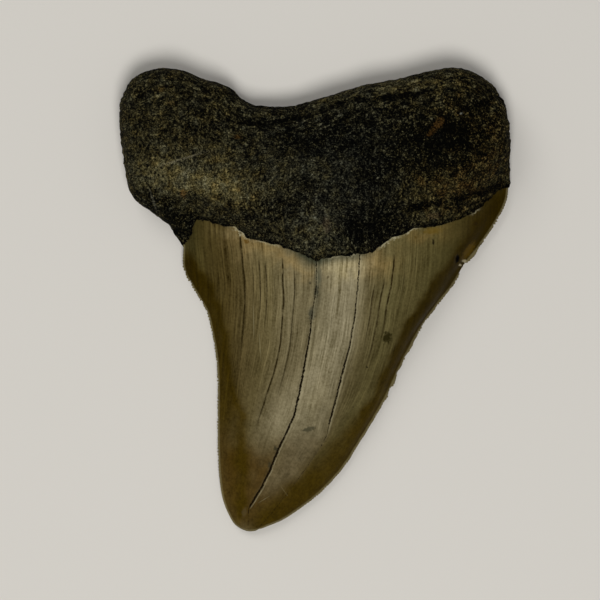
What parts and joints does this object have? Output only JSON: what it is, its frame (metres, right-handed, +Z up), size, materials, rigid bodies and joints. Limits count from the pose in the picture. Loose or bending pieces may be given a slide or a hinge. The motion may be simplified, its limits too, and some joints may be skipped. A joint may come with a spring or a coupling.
{
  "type": "fossil shark tooth",
  "caption": "Large fossil shark tooth with a thick rough two-lobed root and a broad curved crown with finely serrated cutting edges; lies flat on its outer face as a display or study piece.",
  "frame": {"origin": "centre of the bounding box in X and Y, on the plane the tooth rests on at the bottom", "axes": "+Z is up, away from the flat outer face the tooth lies on and toward the thicker inner face; +Y runs from the tip to the root; +X runs across the root to the right when the inner face is seen from above"},
  "size_m": [0.099, 0.1172, 0.0231],
  "materials": {
    "fossil": "mineralised tooth: smooth satin olive and amber enamel on the crown, rough matt grey-brown to black root"
  },
  "bodies": {
    "root": {"tooth": "fossil"}
  },
  "joints": []
}
